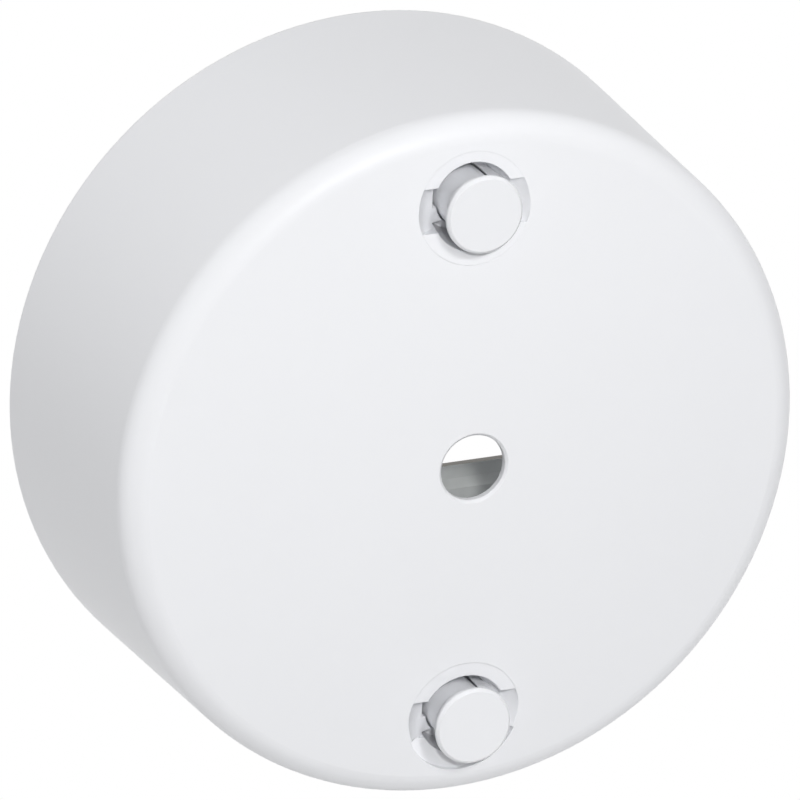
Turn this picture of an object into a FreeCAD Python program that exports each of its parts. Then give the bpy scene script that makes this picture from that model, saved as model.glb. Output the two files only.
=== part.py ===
import FreeCAD, Part
import os
import Sketcher

# Ceiling rose in millimetres, as installed: the ceiling is the plane z = 0, the face looks down,
# the cord comes out at the middle and the two lock pins stand on the Y axis.

# Driving sizes, then sizes worked out from them
SIZES = [
    ("canopy_depth", "42.7"),
    ("face_radius", "52.5"),
    ("rim_flare", "1.6"),
    ("face_dome", "3.2"),
    ("edge_round", "4.0"),
    ("wall", "1.8"),
    ("cable_hole_radius", "5.0"),
    ("cable_lip", "0.4"),
    ("cable_land", "0.9"),
    ("cable_relief", "0.6"),
    ("post_radius", "4.3"),
    ("waist_cut", "0.9"),
    ("head_radius", "5.85"),
    ("head_thickness", "0.9"),
    ("head_chamfer", "0.4"),
    ("collar_step", "1.1"),
    ("collar_thickness", "0.9"),
    ("pin_travel", "4.0"),
    ("tip_overhang", "0.5"),
    ("tip_height", "2.6"),
    ("tip_lead", "1.4"),
    ("tip_slot_width", "1.8"),
    ("pin_clearance", "0.3"),
    ("stop_gap", "0.1"),
    ("seat_inset", "12.8"),
    ("land_width", "2.1"),
    ("land_sink", "0.12"),
    ("head_gap", "0.75"),
    ("mouth_taper", "0.9"),
    ("seat_depth", "6.4"),
    ("seat_floor_thickness", "2.0"),
    ("scoop_depth", "4.6"),
    ("scoop_width", "6.6"),
    ("notch_sink", "0.65"),
    ("notch_width", "3.8"),
    ("notch_offset", "1.15"),
    ("notch_depth", "1.6"),
    ("crescent_depth", "1.6"),
    ("collet_wall", "1.5"),
    ("collet_clearance", "0.3"),
    ("barb_overhang", "0.6"),
    ("barb_height", "3.6"),
    ("barb_tip_draft", "0.9"),
    ("slit_width", "1.6"),
    ("sheet_thickness", "1.2"),
    ("sheet_bend_radius", "1.0"),
    ("bend_relief", "0.5"),
    ("screw_spacing", "65.0"),
    ("screw_slot_length", "9.0"),
    ("screw_slot_width", "4.6"),
    ("slot_window_land", "1.5"),
    ("slot_edge_land", "3.0"),
    ("window_width", "38.0"),
    ("window_corner", "1.5"),
    ("cross_bar_width", "8.2"),
    ("frame_corner", "5.0"),
    ("bead_edge", "2.1"),
    ("bead_crest", "2.2"),
    ("bead_height", "1.2"),
    ("bead_run", "3.4"),
    ("leg_width", "18.0"),
    ("foot_land", "3.4"),
    ("cut_overrun", "3.0"),
    ("rim_radius", "=face_radius + rim_flare"),
    ("wall_slant", "=sqrt(rim_flare^2 + canopy_depth^2)"),
    ("slant_out", "=rim_flare / wall_slant"),
    ("slant_up", "=canopy_depth / wall_slant"),
    ("rim_inner_radius", "=rim_radius - wall / slant_up"),
    ("dome_radius", "=(face_radius^2 + face_dome^2) / (2 * face_dome)"),
    ("dome_centre", "=canopy_depth + face_dome - dome_radius"),
    ("round_start_out", "=face_radius - edge_round * slant_up"),
    ("round_start_down", "=canopy_depth - edge_round * slant_out - dome_centre"),
    ("round_lean", "=round_start_down * slant_up - round_start_out * slant_out"),
    ("round_offset_squared", "=round_start_out^2 + round_start_down^2 - (dome_radius - edge_round)^2"),
    ("round_slide", "=round_lean - sqrt(round_lean^2 - round_offset_squared)"),
    ("round_out", "=round_start_out + round_slide * slant_out"),
    ("round_down", "=round_start_down - round_slide * slant_up"),
    ("round_corner", "=sqrt(edge_round^2 + round_slide^2)"),
    ("bore_radius", "=post_radius + pin_clearance"),
    ("seat_y", "=face_radius - seat_inset"),
    ("seat_face", "=dome_centre + sqrt(dome_radius^2 - seat_y^2)"),
    ("seat_floor", "=seat_face - seat_depth"),
    ("boss_top", "=seat_floor - seat_floor_thickness"),
    ("mouth_radius", "=head_radius + head_gap"),
    ("land_radius", "=mouth_radius + land_width"),
    ("boss_root_inner", "=dome_centre + sqrt((dome_radius - wall)^2 - (seat_y - land_radius)^2)"),
    ("boss_root_outer", "=dome_centre + sqrt(dome_radius^2 - (seat_y + land_radius)^2)"),
    ("boss_root", "=(boss_root_inner + boss_root_outer) / 2"),
    ("dish_radius", "=(land_radius^2 + scoop_depth^2) / (2 * scoop_depth)"),
    ("collet_radius", "=bore_radius + collet_wall"),
    ("barb_radius", "=collet_radius + barb_overhang"),
    ("slit_reach", "=barb_radius + collet_clearance"),
    ("barb_base", "=boss_top - sheet_thickness - collet_clearance"),
    ("collet_top", "=barb_base - barb_height"),
    ("head_face", "=seat_face + pin_travel"),
    ("head_back", "=head_face - head_thickness"),
    ("collar_back", "=head_back - collar_thickness"),
    ("collar_radius", "=post_radius + collar_step"),
    ("waist_radius", "=post_radius - waist_cut"),
    ("tip_radius", "=bore_radius + tip_overhang"),
    ("tip_shoulder", "=collet_top - stop_gap"),
    ("window_length", "=screw_spacing - screw_slot_length - 2 * slot_window_land"),
    ("frame_half_length", "=(screw_spacing + screw_slot_length) / 2 + slot_edge_land"),
    ("bar_outer", "=window_width / 2 + cross_bar_width"),
    ("bead_length", "=window_length + 2 * bead_run"),
    ("foot_hole_radius", "=collet_radius + collet_clearance"),
    ("leg_outer", "=bar_outer + sheet_bend_radius + bend_relief + sheet_thickness"),
    ("leg_inner", "=leg_outer - sheet_thickness"),
    ("ankle_outer", "=seat_y - foot_hole_radius - foot_land"),
    ("ankle_inner", "=ankle_outer - sheet_thickness"),
    ("foot_top", "=boss_top - sheet_thickness"),
]

doc = FreeCAD.newDocument("ceiling_rose")
dims = doc.addObject("Spreadsheet::Sheet", "dims")
for row, (alias, content) in enumerate(SIZES, start=1):
    dims.set(f"A{row}", alias)
    dims.set(f"B{row}", content)
    dims.setAlias(f"B{row}", alias)
doc.recompute()


def value(formula):
    return float(dims.evalExpression(formula))


def new_body(label, y="0"):
    body = doc.addObject("PartDesign::Body", label)
    body.Label = label
    body.setExpression("Placement.Base.y", y)
    return body


def new_sketch(body, name, role, offset="0", shift="0", tilt="0"):
    """Sketch on a base plane, moved off it, moved along its own Y and tilted about its own X."""
    plane = next(feature for feature in body.Origin.OriginFeatures if feature.Role == role)
    sketch = body.newObject("Sketcher::SketchObject", name)
    sketch.AttachmentSupport = [(plane, "")]
    sketch.MapMode = "FlatFace"
    place = FreeCAD.Vector(0, value(shift), value(offset))
    turn = FreeCAD.Rotation(FreeCAD.Vector(1, 0, 0), value(tilt))
    sketch.AttachmentOffset = FreeCAD.Placement(place, turn)
    sketch.setExpression("AttachmentOffset.Base.z", offset)
    if shift != "0":
        sketch.setExpression("AttachmentOffset.Base.y", shift)
    if tilt != "0":
        sketch.setExpression("AttachmentOffset.Rotation.Angle", tilt)
    return sketch


def constrain(sketch, formula, kind, *target):
    index = sketch.addConstraint(Sketcher.Constraint(kind, *target, value(formula)))
    sketch.setExpression(f"Constraints[{index}]", formula)


def place_point(sketch, geometry, position, x, y):
    constrain(sketch, x, "DistanceX", geometry, position)
    constrain(sketch, y, "DistanceY", geometry, position)


def add_circle(sketch, x, y, radius):
    centre = FreeCAD.Vector(value(x), value(y), 0)
    ring = sketch.addGeometry(Part.Circle(centre, FreeCAD.Vector(0, 0, 1), value(radius)), False)
    place_point(sketch, ring, 3, x, y)
    constrain(sketch, radius, "Radius", ring)


def add_outline(sketch, corners, arcs=None):
    """Closed outline through the corners. arcs maps a side's number to the point in the middle of
    its arc and to the kind and formula that fix the arc's centre."""
    arcs = arcs or {}
    points = [FreeCAD.Vector(value(x), value(y), 0) for x, y in corners]
    count = len(points)
    start = sketch.GeometryCount
    for side in range(count):
        ends = points[side], points[(side + 1) % count]
        if side in arcs:
            x, y = arcs[side][0]
            middle = FreeCAD.Vector(value(x), value(y), 0)
            clockwise = (middle - ends[0]).cross(ends[1] - middle).z < 0
            first, last = reversed(ends) if clockwise else ends
            sketch.addGeometry(Part.Arc(first, middle, last), False)
        else:
            sketch.addGeometry(Part.LineSegment(*ends), False)

    def end_of(side, far):
        # An arc is drawn counter-clockwise, so its start may be the far end of its side
        edge = sketch.Geometry[start + side]
        target = points[(side + 1) % count] if far else points[side]
        return 1 if edge.StartPoint.distanceToPoint(target) < edge.EndPoint.distanceToPoint(target) else 2

    ends = [(end_of(side, False), end_of(side, True)) for side in range(count)]
    for side in range(count):
        following = (side + 1) % count
        sketch.addConstraint(Sketcher.Constraint(
            "Coincident", start + side, ends[side][1], start + following, ends[following][0]))
    for side, (x, y) in enumerate(corners):
        place_point(sketch, start + side, ends[side][0], x, y)
    for side, (_, kind, formula) in arcs.items():
        constrain(sketch, formula, kind, start + side, 3)


def rectangle(left, low, right, high):
    return [(left, low), (right, low), (right, high), (left, high)]


def add_segment(sketch, y, direction, radius, chord):
    """Circle segment on one side of a chord, which lies this far from the circle's centre at y."""
    half_chord = f"sqrt(({radius})^2 - ({chord})^2)"
    chord_y = f"{y} + {direction} * {chord}"
    add_outline(
        sketch,
        [(f"-{half_chord}", chord_y), (half_chord, chord_y)],
        {1: (("0", f"{y} + {direction} * ({radius})"), "DistanceY", y)},
    )


def feature(body, kind, name, sketch, **settings):
    """Pad, Pocket, Revolution or Groove of a sketch. Text settings are formulas."""
    item = body.newObject("PartDesign::" + kind, name)
    item.Profile = sketch
    for key, setting in settings.items():
        if key in ("Length", "Angle", "TaperAngle"):
            item.setExpression(key, setting)
        else:
            setattr(item, key, setting)
    sketch.Visibility = False
    before = item.BaseFeature.Shape.Volume if item.BaseFeature else 0.0
    doc.recompute()
    grows = kind in ("Pad", "Revolution")
    change = item.Shape.Volume - before
    if change == 0 or (change > 0) != grows:
        raise RuntimeError(f"{body.Label}: {name} leaves the solid as it was")
    return item


def edges_where(shape, test):
    return [f"Edge{number}" for number, edge in enumerate(shape.Edges, start=1) if test(edge)]


def round_edges(body, name, radius, test):
    base = body.Tip
    item = body.newObject("PartDesign::Fillet", name)
    item.Base = (base, edges_where(base.Shape, test))
    item.setExpression("Radius", radius)
    doc.recompute()


def near(a, b):
    return abs(a - b) < 1e-4


def along_x(edge, y, z):
    """Whether an edge is a straight one in the X direction at this y and z."""
    if not isinstance(edge.Curve, Part.Line):
        return False
    ends = [vertex.Point for vertex in edge.Vertexes]
    return all(near(point.y, y) and near(point.z, z) for point in ends)


def upright_at(edge, x, y):
    """Whether an edge is a straight one in the Z direction at this distance from both axes."""
    if not isinstance(edge.Curve, Part.Line):
        return False
    first, last = [vertex.Point for vertex in edge.Vertexes]
    upright = near(first.x, last.x) and near(first.y, last.y)
    return upright and near(abs(first.x), x) and near(abs(first.y), y)


# Canopy: a drafted round cup with a slightly domed face, an open back and a hole for the cable
canopy = new_body("canopy")


def dome_point(radius, inset="0"):
    """Point of the section on the domed face, this far from the middle and this far inside it."""
    depth = f"dims.dome_centre + sqrt((dims.dome_radius - {inset})^2 - ({radius})^2)"
    return radius, f"-({depth})"


def from_dome_centre(out, down, scale="1"):
    return f"{out} * {scale}", f"-(dims.dome_centre + {down} * {scale})"


def on_edge_round(out, down, radius):
    """Point this far from the edge round's centre, in a direction given by its two parts."""
    return from_dome_centre(
        f"(dims.round_out + ({radius}) * ({out}))", f"(dims.round_down + ({radius}) * ({down}))")


# The edge round is tangent to the dome and to the drafted wall; straight flanks follow both inside
inner_round = "dims.edge_round - dims.wall"
corner_out = "(dims.edge_round * dims.slant_up - dims.round_slide * dims.slant_out) / dims.round_corner"
corner_down = "(dims.edge_round * dims.slant_out + dims.round_slide * dims.slant_up) / dims.round_corner"
to_outside = "dims.dome_radius / (dims.dome_radius - dims.edge_round)"
to_inside = "(dims.dome_radius - dims.wall) / (dims.dome_radius - dims.edge_round)"
hole_edge = dome_point("dims.cable_hole_radius")
halfway = "dims.face_radius / 2"
sketch = new_sketch(canopy, "cup_section", "XZ_Plane")
add_outline(
    sketch,
    [
        (hole_edge[0], f"{hole_edge[1]} + dims.cable_lip"),
        dome_point("dims.cable_hole_radius + dims.cable_lip"),
        from_dome_centre("dims.round_out", "dims.round_down", to_outside),
        on_edge_round("dims.slant_up", "dims.slant_out", "dims.edge_round"),
        ("dims.rim_radius", "0"),
        ("dims.rim_inner_radius", "0"),
        on_edge_round("dims.slant_up", "dims.slant_out", inner_round),
        from_dome_centre("dims.round_out", "dims.round_down", to_inside),
        dome_point(halfway, "dims.wall"),
        dome_point("dims.cable_hole_radius + dims.cable_relief", "dims.wall"),
        (hole_edge[0], f"{hole_edge[1]} + dims.cable_lip + dims.cable_land"),
    ],
    {
        1: (dome_point(halfway), "DistanceX", "0"),
        2: (on_edge_round(corner_out, corner_down, "dims.edge_round"), "DistanceX", "dims.round_out"),
    },
)
feature(canopy, "Revolution", "cup", sketch, ReferenceAxis=(sketch, ["V_Axis"]), Angle="360")


def add_seat(name, side):
    """Seat of one lock pin: a boss behind the face, a split collet with a barb on it, and in the
    face a round dish, filled up on both sides of a channel for a screwdriver blade. A tapered
    pocket on each side of the channel, the bore and a key notch open it for the pin."""
    y = f"({side} * dims.seat_y)"
    turned = f"-{y}"

    sketch = new_sketch(canopy, name + "_boss_outline", "XY_Plane", "-dims.boss_root")
    add_circle(sketch, "0", y, "dims.land_radius")
    feature(canopy, "Pad", name + "_boss", sketch, Length="dims.boss_root - dims.boss_top")

    sketch = new_sketch(canopy, name + "_collet_profile", "XZ_Plane", turned)
    add_outline(sketch, [
        ("0", "-dims.seat_floor"),
        ("dims.collet_radius", "-dims.seat_floor"),
        ("dims.collet_radius", "-dims.barb_base"),
        ("dims.barb_radius", "-dims.barb_base"),
        ("dims.barb_radius - dims.barb_tip_draft", "-dims.collet_top"),
        ("0", "-dims.collet_top"),
    ])
    feature(canopy, "Revolution", name + "_collet", sketch, ReferenceAxis=(sketch, ["V_Axis"]), Angle="360")

    sketch = new_sketch(canopy, name + "_dish_profile", "XZ_Plane", turned)
    below = "-dims.seat_face - dims.cut_overrun"
    above = "-dims.collet_top + dims.cut_overrun"
    add_outline(
        sketch,
        [
            ("0", below),
            ("dims.land_radius", below),
            ("dims.land_radius", "-dims.seat_face"),
            ("0", "-dims.seat_face + dims.scoop_depth"),
        ],
        {2: (
            ("dims.dish_radius * sin(30)",
             "-dims.seat_face + dims.scoop_depth - dims.dish_radius * (1 - cos(30))"),
            "DistanceX", "0")},
    )
    feature(canopy, "Groove", name + "_dish", sketch, ReferenceAxis=(sketch, ["V_Axis"]), Angle="360")

    # The lands lie along the dome, a little sunk
    tilt = f"asin({y} / dims.dome_radius)"
    chord = "dims.scoop_width / 2"
    for edge, direction in (("inner", f"-({side})"), ("outer", f"({side})")):
        sketch = new_sketch(canopy, f"{name}_{edge}_land_outline", "XY_Plane",
                            "-dims.seat_face + dims.land_sink", y, tilt)
        add_segment(sketch, "0", direction, "dims.land_radius", chord)
        feature(canopy, "Pad", f"{name}_{edge}_land", sketch, Length="dims.scoop_depth")

    sketch = new_sketch(canopy, name + "_bore_outline", "XY_Plane", above)
    add_circle(sketch, "0", y, "dims.bore_radius")
    feature(canopy, "Pocket", name + "_bore", sketch,
            Length="dims.seat_face - dims.collet_top + 2 * dims.cut_overrun")
    for edge, direction in (("inner", f"-({side})"), ("outer", f"({side})")):
        sketch = new_sketch(canopy, f"{name}_{edge}_mouth_outline", "XY_Plane", "-dims.seat_floor")
        add_segment(sketch, y, direction, "dims.mouth_radius - dims.mouth_taper", chord)
        feature(canopy, "Pocket", f"{name}_{edge}_mouth", sketch, Length="dims.seat_depth + dims.cut_overrun",
                TaperAngle="atan(dims.mouth_taper / dims.seat_depth)")

    sketch = new_sketch(canopy, name + "_notch_outline", "XY_Plane", "-dims.seat_floor + dims.notch_depth")
    left = "-(dims.bore_radius + dims.notch_sink)"
    middle = f"({y} - dims.notch_offset)"
    half = "dims.notch_width / 2"
    add_outline(sketch, rectangle(left, f"{middle} - {half}", "0", f"{middle} + {half}"))
    feature(canopy, "Pocket", name + "_notch", sketch, Length="dims.notch_depth + dims.seat_depth")

    for axis, half_x, half_y in (
            ("lengthwise", "dims.slit_reach", "dims.slit_width / 2"),
            ("crosswise", "dims.slit_width / 2", "dims.slit_reach")):
        sketch = new_sketch(canopy, f"{name}_{axis}_slit_outline", "XY_Plane", "-dims.collet_top")
        add_outline(sketch, rectangle(f"-{half_x}", f"{y} - {half_y}", half_x, f"{y} + {half_y}"))
        feature(canopy, "Pocket", f"{name}_{axis}_slit", sketch, Length="dims.boss_top - dims.collet_top")


add_seat("front", "-1")
add_seat("rear", "1")

# The rear seat's land is cut lower on the side towards the rim
sketch = new_sketch(canopy, "crescent_outline", "XY_Plane", "-dims.seat_face + dims.crescent_depth")
add_segment(sketch, "dims.seat_y", "1", "dims.land_radius", "dims.scoop_width * 0.45")
feature(canopy, "Pocket", "crescent", sketch, Length="dims.face_dome + dims.cut_overrun")


# Lock pin: flat head, collar, thick post that backs the barbs when pushed in, waist and split tip
def add_lock_pin(label, y):
    pin = new_body(label, y)
    sketch = new_sketch(pin, "pin_profile", "XZ_Plane")
    post_top = "-dims.boss_top + dims.stop_gap"
    add_outline(sketch, [
        ("0", "-dims.head_face"),
        ("dims.head_radius - dims.head_chamfer", "-dims.head_face"),
        ("dims.head_radius", "-dims.head_face + dims.head_chamfer"),
        ("dims.head_radius", "-dims.head_back"),
        ("dims.collar_radius", "-dims.head_back"),
        ("dims.collar_radius", "-dims.collar_back"),
        ("dims.post_radius", "-dims.collar_back"),
        ("dims.post_radius", post_top),
        ("dims.waist_radius", f"{post_top} + dims.waist_cut"),
        ("dims.waist_radius", "-dims.tip_shoulder"),
        ("dims.tip_radius", "-dims.tip_shoulder"),
        ("dims.tip_radius - dims.tip_lead", "-dims.tip_shoulder + dims.tip_height"),
        ("0", "-dims.tip_shoulder + dims.tip_height"),
    ])
    feature(pin, "Revolution", "pin_turned", sketch, ReferenceAxis=(sketch, ["V_Axis"]), Angle="360")
    sketch = new_sketch(pin, "tip_slot_outline", "XY_Plane", "-dims.tip_shoulder + dims.tip_height")
    add_outline(sketch, rectangle(
        "-dims.tip_slot_width / 2", "-dims.tip_radius * 2", "dims.tip_slot_width / 2", "dims.tip_radius * 2"))
    feature(pin, "Pocket", "tip_slot", sketch, Length="dims.tip_height + dims.barb_height")
    return pin


front_pin = add_lock_pin("front_lock_pin", "-dims.seat_y")
rear_pin = add_lock_pin("rear_lock_pin", "dims.seat_y")

# Mounting bracket: a folded steel frame with a window, a bead along each cross bar, screw slots in
# the side bars, and a leg with a foot that sits on each boss
bracket = new_body("mounting_bracket")
sketch = new_sketch(bracket, "frame_outline", "XY_Plane", "-dims.sheet_thickness")
add_outline(sketch, rectangle(
    "-dims.frame_half_length", "-dims.bar_outer", "dims.frame_half_length", "dims.bar_outer"))
feature(bracket, "Pad", "frame_plate", sketch, Length="dims.sheet_thickness")
round_edges(
    bracket, "frame_corners", "dims.frame_corner",
    lambda edge: upright_at(edge, value("dims.frame_half_length"), value("dims.bar_outer")))


def add_bead(side, sign):
    """Hollow bead pressed down out of one cross bar, closed at both ends."""
    edge = "(dims.window_width / 2 + dims.bead_edge)"
    foot = "(2 * dims.bead_height + dims.bead_crest)"

    def section(inset, low, high):
        # The flanks run at 45 degrees
        return [
            (f"{sign} * ({edge} + {inset})", high),
            (f"{sign} * ({edge} + {inset} + dims.bead_height)", low),
            (f"{sign} * ({edge} - {inset} + {foot} - dims.bead_height)", low),
            (f"{sign} * ({edge} - {inset} + {foot})", high),
        ]

    sketch = new_sketch(bracket, side + "_bead_section", "YZ_Plane")
    add_outline(sketch, section("0", "-dims.sheet_thickness - dims.bead_height", "-dims.sheet_thickness"))
    feature(bracket, "Pad", side + "_bead", sketch, SideType="Symmetric", Length="dims.bead_length")
    sketch = new_sketch(bracket, side + "_bead_hollow_section", "YZ_Plane")
    # The flank's thickness is measured across it
    inset = "(dims.sheet_thickness * (sqrt(2) - 1))"
    add_outline(sketch, section(inset, "-dims.bead_height", "0"))
    feature(bracket, "Pocket", side + "_bead_hollow", sketch, SideType="Symmetric",
            Length="dims.bead_length - 2 * dims.sheet_thickness")


def add_leg(side, sign):
    """Leg folded down from one cross bar, its foot folded out and ending round the collet."""
    sketch = new_sketch(bracket, side + "_leg_profile", "YZ_Plane")
    thickness = "dims.sheet_thickness"
    seat = f"{sign} * dims.seat_y"
    add_outline(sketch, [
        (f"{sign} * (dims.bar_outer - dims.sheet_bend_radius)", "0"),
        (f"{sign} * dims.leg_outer", "0"),
        (f"{sign} * dims.ankle_outer", "-dims.foot_top"),
        (seat, "-dims.foot_top"),
        (seat, "-dims.boss_top"),
        (f"{sign} * dims.ankle_inner", "-dims.boss_top"),
        (f"{sign} * dims.leg_inner", f"-{thickness}"),
        (f"{sign} * (dims.bar_outer - dims.sheet_bend_radius)", f"-{thickness}"),
    ])
    feature(bracket, "Pad", side + "_leg", sketch, SideType="Symmetric", Length="dims.leg_width")
    sketch = new_sketch(bracket, side + "_foot_end_outline", "XY_Plane", "-dims.boss_top")
    add_circle(sketch, "0", seat, "dims.leg_width / 2")
    feature(bracket, "Pad", side + "_foot_end", sketch, Length=thickness)
    sketch = new_sketch(bracket, side + "_foot_hole_outline", "XY_Plane", "-dims.foot_top")
    add_circle(sketch, "0", seat, "dims.foot_hole_radius")
    feature(bracket, "Pocket", side + "_foot_hole", sketch, Length="dims.sheet_thickness + dims.stop_gap")


for side, sign in (("front", "-1"), ("rear", "1")):
    add_bead(side, sign)
    add_leg(side, sign)

bends_inside = [("dims.leg_inner", "dims.sheet_thickness"), ("dims.ankle_outer", "dims.foot_top")]
bends_outside = [("dims.leg_outer", "0"), ("dims.ankle_inner", "dims.boss_top")]
for name, radius, corners in (
        ("bends_inside", "dims.sheet_bend_radius", bends_inside),
        ("bends_outside", "dims.sheet_bend_radius + dims.sheet_thickness", bends_outside)):
    places = [(sign * value(y), -value(z)) for y, z in corners for sign in (-1, 1)]
    round_edges(bracket, name, radius, lambda edge: any(along_x(edge, y, z) for y, z in places))

sketch = new_sketch(bracket, "window_outline", "XY_Plane")
add_outline(sketch, rectangle(
    "-dims.window_length / 2", "-dims.window_width / 2", "dims.window_length / 2", "dims.window_width / 2"))
feature(bracket, "Pocket", "window", sketch, Length="dims.sheet_thickness + dims.stop_gap")
round_edges(
    bracket, "window_corners", "dims.window_corner",
    lambda edge: upright_at(edge, value("dims.window_length / 2"), value("dims.window_width / 2")))


def add_screw_slot(side, sign):
    sketch = new_sketch(bracket, side + "_screw_slot_outline", "XY_Plane")
    middle = f"{sign} * dims.screw_spacing / 2"
    radius = "dims.screw_slot_width / 2"
    straight = "(dims.screw_slot_length - dims.screw_slot_width) / 2"
    left, right = f"{middle} - {straight}", f"{middle} + {straight}"
    add_outline(
        sketch,
        rectangle(left, f"-{radius}", right, radius),
        {
            1: ((f"{right} + {radius}", "0"), "DistanceX", right),
            3: ((f"{left} - {radius}", "0"), "DistanceX", left),
        },
    )
    feature(bracket, "Pocket", side + "_screw_slot", sketch, Length="dims.sheet_thickness + dims.stop_gap")


add_screw_slot("left", "-1")
add_screw_slot("right", "1")

# Checks, then one file for each piece
doc.recompute()
for item in doc.Objects:
    if "Invalid" in item.State or "Error" in item.State:
        raise RuntimeError(f"{item.Name}: {item.State}")
pieces = (canopy, front_pin, rear_pin, bracket)
for piece in pieces:
    if piece.Shape.isNull() or not piece.Shape.isValid() or len(piece.Shape.Solids) != 1:
        raise RuntimeError(f"{piece.Label}: not one valid solid")
os.makedirs("parts", exist_ok=True)
for piece in pieces:
    piece.Shape.exportStep(f"parts/{piece.Label}.step")
    print(f"{piece.Label}: {piece.Shape.Volume / 1000:.2f} cm3")
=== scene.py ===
import math

import bpy
from mathutils import Matrix, Vector

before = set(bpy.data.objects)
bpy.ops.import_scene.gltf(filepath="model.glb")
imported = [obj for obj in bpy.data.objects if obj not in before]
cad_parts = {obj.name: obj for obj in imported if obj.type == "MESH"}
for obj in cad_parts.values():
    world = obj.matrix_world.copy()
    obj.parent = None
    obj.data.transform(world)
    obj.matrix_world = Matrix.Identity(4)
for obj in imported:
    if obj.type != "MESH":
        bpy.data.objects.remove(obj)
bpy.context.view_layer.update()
scene = bpy.context.scene

# Stage and camera, in metres, and the lens in millimetres
FLOOR_DROP = 1.6
FLOOR_SIZE = 24.0
CAMERA_PLACE = Vector((-0.5301, -0.5473, -1.2659))
CAMERA_AIM = Vector((0.3626, 0.3743, 0.8535))
CAMERA_UP = Vector((0.1282, -0.9271, 0.3521))
CAMERA_LENS = 450.0

# Light
WORLD_COLOUR = (1.0, 1.0, 1.0, 1.0)
WORLD_STRENGTH = 0.12
BACKDROP_STRENGTH = 1.0
LAMP_DISTANCE = 1.7
# Each lamp's direction from the part, its width, the light that it gives and whether it shows in gloss
LAMPS = {
    "key": (Vector((0.04, -0.54, -0.84)), 0.28, 0.32, True),
    "front": (Vector((-0.285, -0.443, -0.850)), 0.09, 0.40, False),
    "top": (Vector((0.20, -0.90, 0.36)), 0.90, 0.28, False),
    "left": (Vector((-0.92, 0.05, 0.38)), 0.90, 0.37, False),
    "right": (Vector((0.80, 0.35, 0.48)), 1.20, 0.41, False),
    "back": (Vector((0.15, 0.85, 0.15)), 1.20, 0.39, False),
}

# Noise: the scale and detail of each kind, and the range in which most of the values lie
CLOUD = (35.0, 3.0)
GRAIN = (2600.0, 2.0)
MOTTLE = (420.0, 4.0)
ROLLING_LINES = (900.0, 3.0)
FIBRE = (60.0, 3.0)
NOISE_LOW = 0.3
NOISE_HIGH = 0.7

# Plastic, lengths in metres
CANOPY_COLOUR = (0.855, 0.862, 0.885, 1.0)
CANOPY_ROUGHNESS = 0.44
CANOPY_SOFT_EDGE = 0.00025
PIN_COLOUR = (0.858, 0.866, 0.890, 1.0)
PIN_ROUGHNESS = 0.40
PIN_SOFT_EDGE = 0.00015
SOFT_EDGE_SAMPLES = 8
ROUGHNESS_SPREAD = 0.04
CLOUD_DARK = 0.012
GRAIN_DEPTH = 0.00002
GRAIN_STRENGTH = 0.12
PLASTIC_IOR = 1.5

# Steel, lengths in metres
STEEL_COLOUR = (0.695, 0.715, 0.70, 1.0)
STEEL_METALLIC = 0.20
STEEL_SMOOTHEST = 0.28
STEEL_ROUGHEST = 0.46
MOTTLE_DARK = 0.18
LINE_STRETCH = (0.04, 1.0, 1.0)
LINE_DEPTH = 0.00003
LINE_STRENGTH = 0.25
# Dark sheared edges: partly the bare steel of the cut, mostly painted shade for the shade they lie in
# under the ceiling.
CUT_EDGE_STEEL_AND_SHADE_COLOUR = (0.16, 0.15, 0.13, 1.0)
CUT_EDGE_SHADE_DEPTH = 0.0013
CUT_EDGE_SHADE_SLOPE = 0.3

# Floor
FLOOR_COLOUR = (0.93, 0.93, 0.93, 1.0)
FLOOR_ROUGHNESS = 0.9
FLOOR_GLOW = 0.85
FIBRE_DARK = 0.01


def new_material(name):
    material = bpy.data.materials.new(name)
    material.use_nodes = True
    nodes = material.node_tree.nodes
    return material, nodes, material.node_tree.links, nodes["Principled BSDF"]


def add_noise(nodes, links, kind, stretch=(1.0, 1.0, 1.0)):
    """Noise in the object's own metres, stretched along its axes."""
    scale, detail = kind
    place = nodes.new("ShaderNodeTexCoord")
    mapping = nodes.new("ShaderNodeMapping")
    mapping.inputs["Scale"].default_value = stretch
    links.new(place.outputs["Object"], mapping.inputs["Vector"])
    noise = nodes.new("ShaderNodeTexNoise")
    noise.inputs["Scale"].default_value = scale
    noise.inputs["Detail"].default_value = detail
    links.new(mapping.outputs["Vector"], noise.inputs["Vector"])
    return noise.outputs["Fac"]


def add_range(nodes, links, value, low, high):
    """Spreads a noise value over the range from low to high."""
    spread = nodes.new("ShaderNodeMapRange")
    spread.inputs["From Min"].default_value = NOISE_LOW
    spread.inputs["From Max"].default_value = NOISE_HIGH
    spread.inputs["To Min"].default_value = low
    spread.inputs["To Max"].default_value = high
    links.new(value, spread.inputs["Value"])
    return spread.outputs["Result"]


def add_tint(nodes, links, value, colour, dark):
    """The colour, darker by the share dark where the noise value is low."""
    mix = nodes.new("ShaderNodeMix")
    mix.data_type = "RGBA"
    mix.inputs["A"].default_value = (*(part * (1.0 - dark) for part in colour[:3]), 1.0)
    mix.inputs["B"].default_value = colour
    links.new(value, mix.inputs["Factor"])
    return mix.outputs["Result"]


def add_bump(nodes, links, height, distance, strength):
    bump = nodes.new("ShaderNodeBump")
    bump.inputs["Strength"].default_value = strength
    bump.inputs["Distance"].default_value = distance
    links.new(height, bump.inputs["Height"])
    return bump


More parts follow.
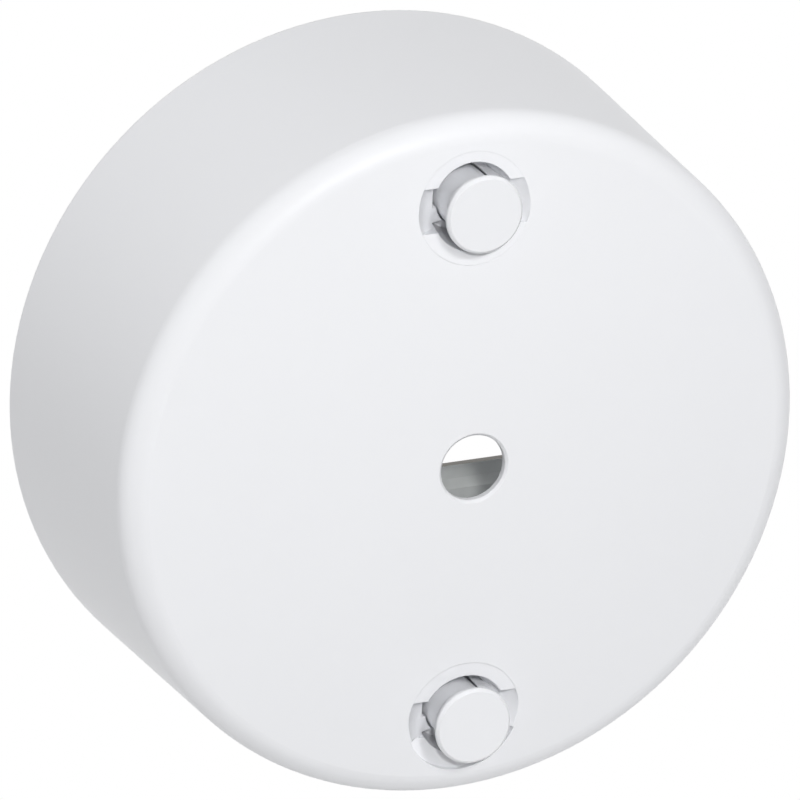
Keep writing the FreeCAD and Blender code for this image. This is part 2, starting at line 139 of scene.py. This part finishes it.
def moulded_plastic(name, colour, roughness, edge):
    """Satin moulded plastic: faint clouding, a fine mould grain and softened edges."""
    material, nodes, links, shader = new_material(name)
    cloud = add_noise(nodes, links, CLOUD)
    grain = add_noise(nodes, links, GRAIN)
    links.new(add_tint(nodes, links, cloud, colour, CLOUD_DARK), shader.inputs["Base Color"])
    gloss = add_range(nodes, links, grain, roughness - ROUGHNESS_SPREAD, roughness + ROUGHNESS_SPREAD)
    links.new(gloss, shader.inputs["Roughness"])
    bump = add_bump(nodes, links, grain, GRAIN_DEPTH, GRAIN_STRENGTH)
    soft_edge = nodes.new("ShaderNodeBevel")
    soft_edge.samples = SOFT_EDGE_SAMPLES
    soft_edge.inputs["Radius"].default_value = edge
    links.new(soft_edge.outputs["Normal"], bump.inputs["Normal"])
    links.new(bump.outputs["Normal"], shader.inputs["Normal"])
    shader.inputs["IOR"].default_value = PLASTIC_IOR
    return material


def add_compare(nodes, links, operation, value, limit):
    """1 where the value passes the comparison with the limit, else 0."""
    compare = nodes.new("ShaderNodeMath")
    compare.operation = operation
    compare.inputs[1].default_value = limit
    links.new(value, compare.inputs[0])
    return compare.outputs["Value"]


def add_cut_edge_shade_mask(nodes, links):
    """1 on the sheared edges of the top plate, which stand upright just under the ceiling, else 0;
    where it is 1 the steel gets its painted shade.
    """
    place = nodes.new("ShaderNodeTexCoord")
    part = {}
    for name in ("Normal", "Object"):
        split = nodes.new("ShaderNodeSeparateXYZ")
        links.new(place.outputs[name], split.inputs["Vector"])
        part[name] = split.outputs["Z"]
    slope = nodes.new("ShaderNodeMath")
    slope.operation = "ABSOLUTE"
    links.new(part["Normal"], slope.inputs[0])
    upright = add_compare(nodes, links, "LESS_THAN", slope.outputs["Value"], CUT_EDGE_SHADE_SLOPE)
    near_ceiling = add_compare(nodes, links, "GREATER_THAN", part["Object"], -CUT_EDGE_SHADE_DEPTH)
    both = nodes.new("ShaderNodeMath")
    both.operation = "MULTIPLY"
    links.new(upright, both.inputs[0])
    links.new(near_ceiling, both.inputs[1])
    return both.outputs["Value"]


def zinc_steel(name, colour):
    """Zinc-coated sheet steel: rolling lines along the sheet, a pale mottled coat, and dark cut edges
    that are partly bare sheared steel and partly painted shade.
    """
    material, nodes, links, shader = new_material(name)
    mottle = add_noise(nodes, links, MOTTLE)
    lines = add_noise(nodes, links, ROLLING_LINES, LINE_STRETCH)
    # The coat, with painted shade mixed in on the sheared edges near the ceiling.
    coat_and_edge_shade = nodes.new("ShaderNodeMix")
    coat_and_edge_shade.data_type = "RGBA"
    coat_and_edge_shade.inputs["B"].default_value = CUT_EDGE_STEEL_AND_SHADE_COLOUR
    links.new(add_cut_edge_shade_mask(nodes, links), coat_and_edge_shade.inputs["Factor"])
    links.new(add_tint(nodes, links, mottle, colour, MOTTLE_DARK), coat_and_edge_shade.inputs["A"])
    links.new(coat_and_edge_shade.outputs["Result"], shader.inputs["Base Color"])
    gloss = add_range(nodes, links, lines, STEEL_SMOOTHEST, STEEL_ROUGHEST)
    links.new(gloss, shader.inputs["Roughness"])
    bump = add_bump(nodes, links, lines, LINE_DEPTH, LINE_STRENGTH)
    links.new(bump.outputs["Normal"], shader.inputs["Normal"])
    shader.inputs["Metallic"].default_value = STEEL_METALLIC
    return material


def dress(node, material):
    """Puts the material on the CAD node's slot."""
    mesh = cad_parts[node].data
    mesh.materials.clear()
    mesh.materials.append(material)


white_plastic = moulded_plastic("canopy_plastic", CANOPY_COLOUR, CANOPY_ROUGHNESS, CANOPY_SOFT_EDGE)
pin_plastic = moulded_plastic("pin_plastic", PIN_COLOUR, PIN_ROUGHNESS, PIN_SOFT_EDGE)
steel = zinc_steel("bracket_steel", STEEL_COLOUR)
dress("canopy", white_plastic)
dress("front_lock_pin", pin_plastic)
dress("rear_lock_pin", pin_plastic)
dress("mounting_bracket", steel)


def add_backdrop_share(nodes, links):
    """1 where the backdrop is looked at, straight, in gloss or through glass, and 0 where it lights."""
    path = nodes.new("ShaderNodeLightPath")
    share = path.outputs["Is Camera Ray"]
    for ray in ("Is Glossy Ray", "Is Transmission Ray"):
        either = nodes.new("ShaderNodeMath")
        either.operation = "MAXIMUM"
        links.new(share, either.inputs[0])
        links.new(path.outputs[ray], either.inputs[1])
        share = either.outputs["Value"]
    return share


# World: white to look at, a plain level of light elsewhere
world = bpy.data.worlds.new("studio")
scene.world = world
world.use_nodes = True
nodes, links = world.node_tree.nodes, world.node_tree.links
background = nodes["Background"]
background.inputs["Color"].default_value = WORLD_COLOUR
strength = nodes.new("ShaderNodeMapRange")
strength.inputs["To Min"].default_value = WORLD_STRENGTH
strength.inputs["To Max"].default_value = BACKDROP_STRENGTH
links.new(add_backdrop_share(nodes, links), strength.inputs["Value"])
links.new(strength.outputs["Result"], background.inputs["Strength"])

# Floor under the camera: white paper with a faint fibre, most of its white its own
bpy.ops.mesh.primitive_plane_add(size=FLOOR_SIZE, location=(0.0, 0.0, -FLOOR_DROP))
floor = bpy.context.object
floor.name = "floor"
material, nodes, links, shader = new_material("floor_paper")
fibre = add_noise(nodes, links, FIBRE)
links.new(add_tint(nodes, links, fibre, FLOOR_COLOUR, FIBRE_DARK), shader.inputs["Base Color"])
shader.inputs["Roughness"].default_value = FLOOR_ROUGHNESS
glow = nodes.new("ShaderNodeEmission")
share = nodes.new("ShaderNodeMath")
share.operation = "MULTIPLY"
share.inputs[1].default_value = FLOOR_GLOW
links.new(add_backdrop_share(nodes, links), share.inputs[0])
mix = nodes.new("ShaderNodeMixShader")
links.new(share.outputs["Value"], mix.inputs["Fac"])
links.new(shader.outputs["BSDF"], mix.inputs[1])
links.new(glow.outputs["Emission"], mix.inputs[2])
links.new(mix.outputs["Shader"], nodes["Material Output"].inputs["Surface"])
floor.data.materials.append(material)


def add_lamp(name, aim, size, light, gloss):
    """Round soft light in the direction aim from the part. Facing it, a white surface shows the
    value light."""
    data = bpy.data.lights.new(name, "AREA")
    data.shape = "DISK"
    data.size = size
    data.energy = light * math.pi ** 2 * LAMP_DISTANCE ** 2
    lamp = bpy.data.objects.new(name, data)
    scene.collection.objects.link(lamp)
    lamp.location = aim.normalized() * LAMP_DISTANCE
    lamp.rotation_euler = (-aim).to_track_quat("-Z", "Y").to_euler()
    lamp.visible_glossy = gloss


for name, (aim, size, light, gloss) in LAMPS.items():
    add_lamp(name, aim, size, light, gloss)

# Camera at the photograph's angle
camera = bpy.data.objects.new("camera", bpy.data.cameras.new("camera"))
scene.collection.objects.link(camera)
camera.data.lens = CAMERA_LENS
right = CAMERA_AIM.cross(CAMERA_UP)
turn = Matrix((right, CAMERA_UP, -CAMERA_AIM)).transposed().to_4x4()
camera.matrix_world = Matrix.Translation(CAMERA_PLACE) @ turn
scene.camera = camera

scene.view_settings.view_transform = "Standard"
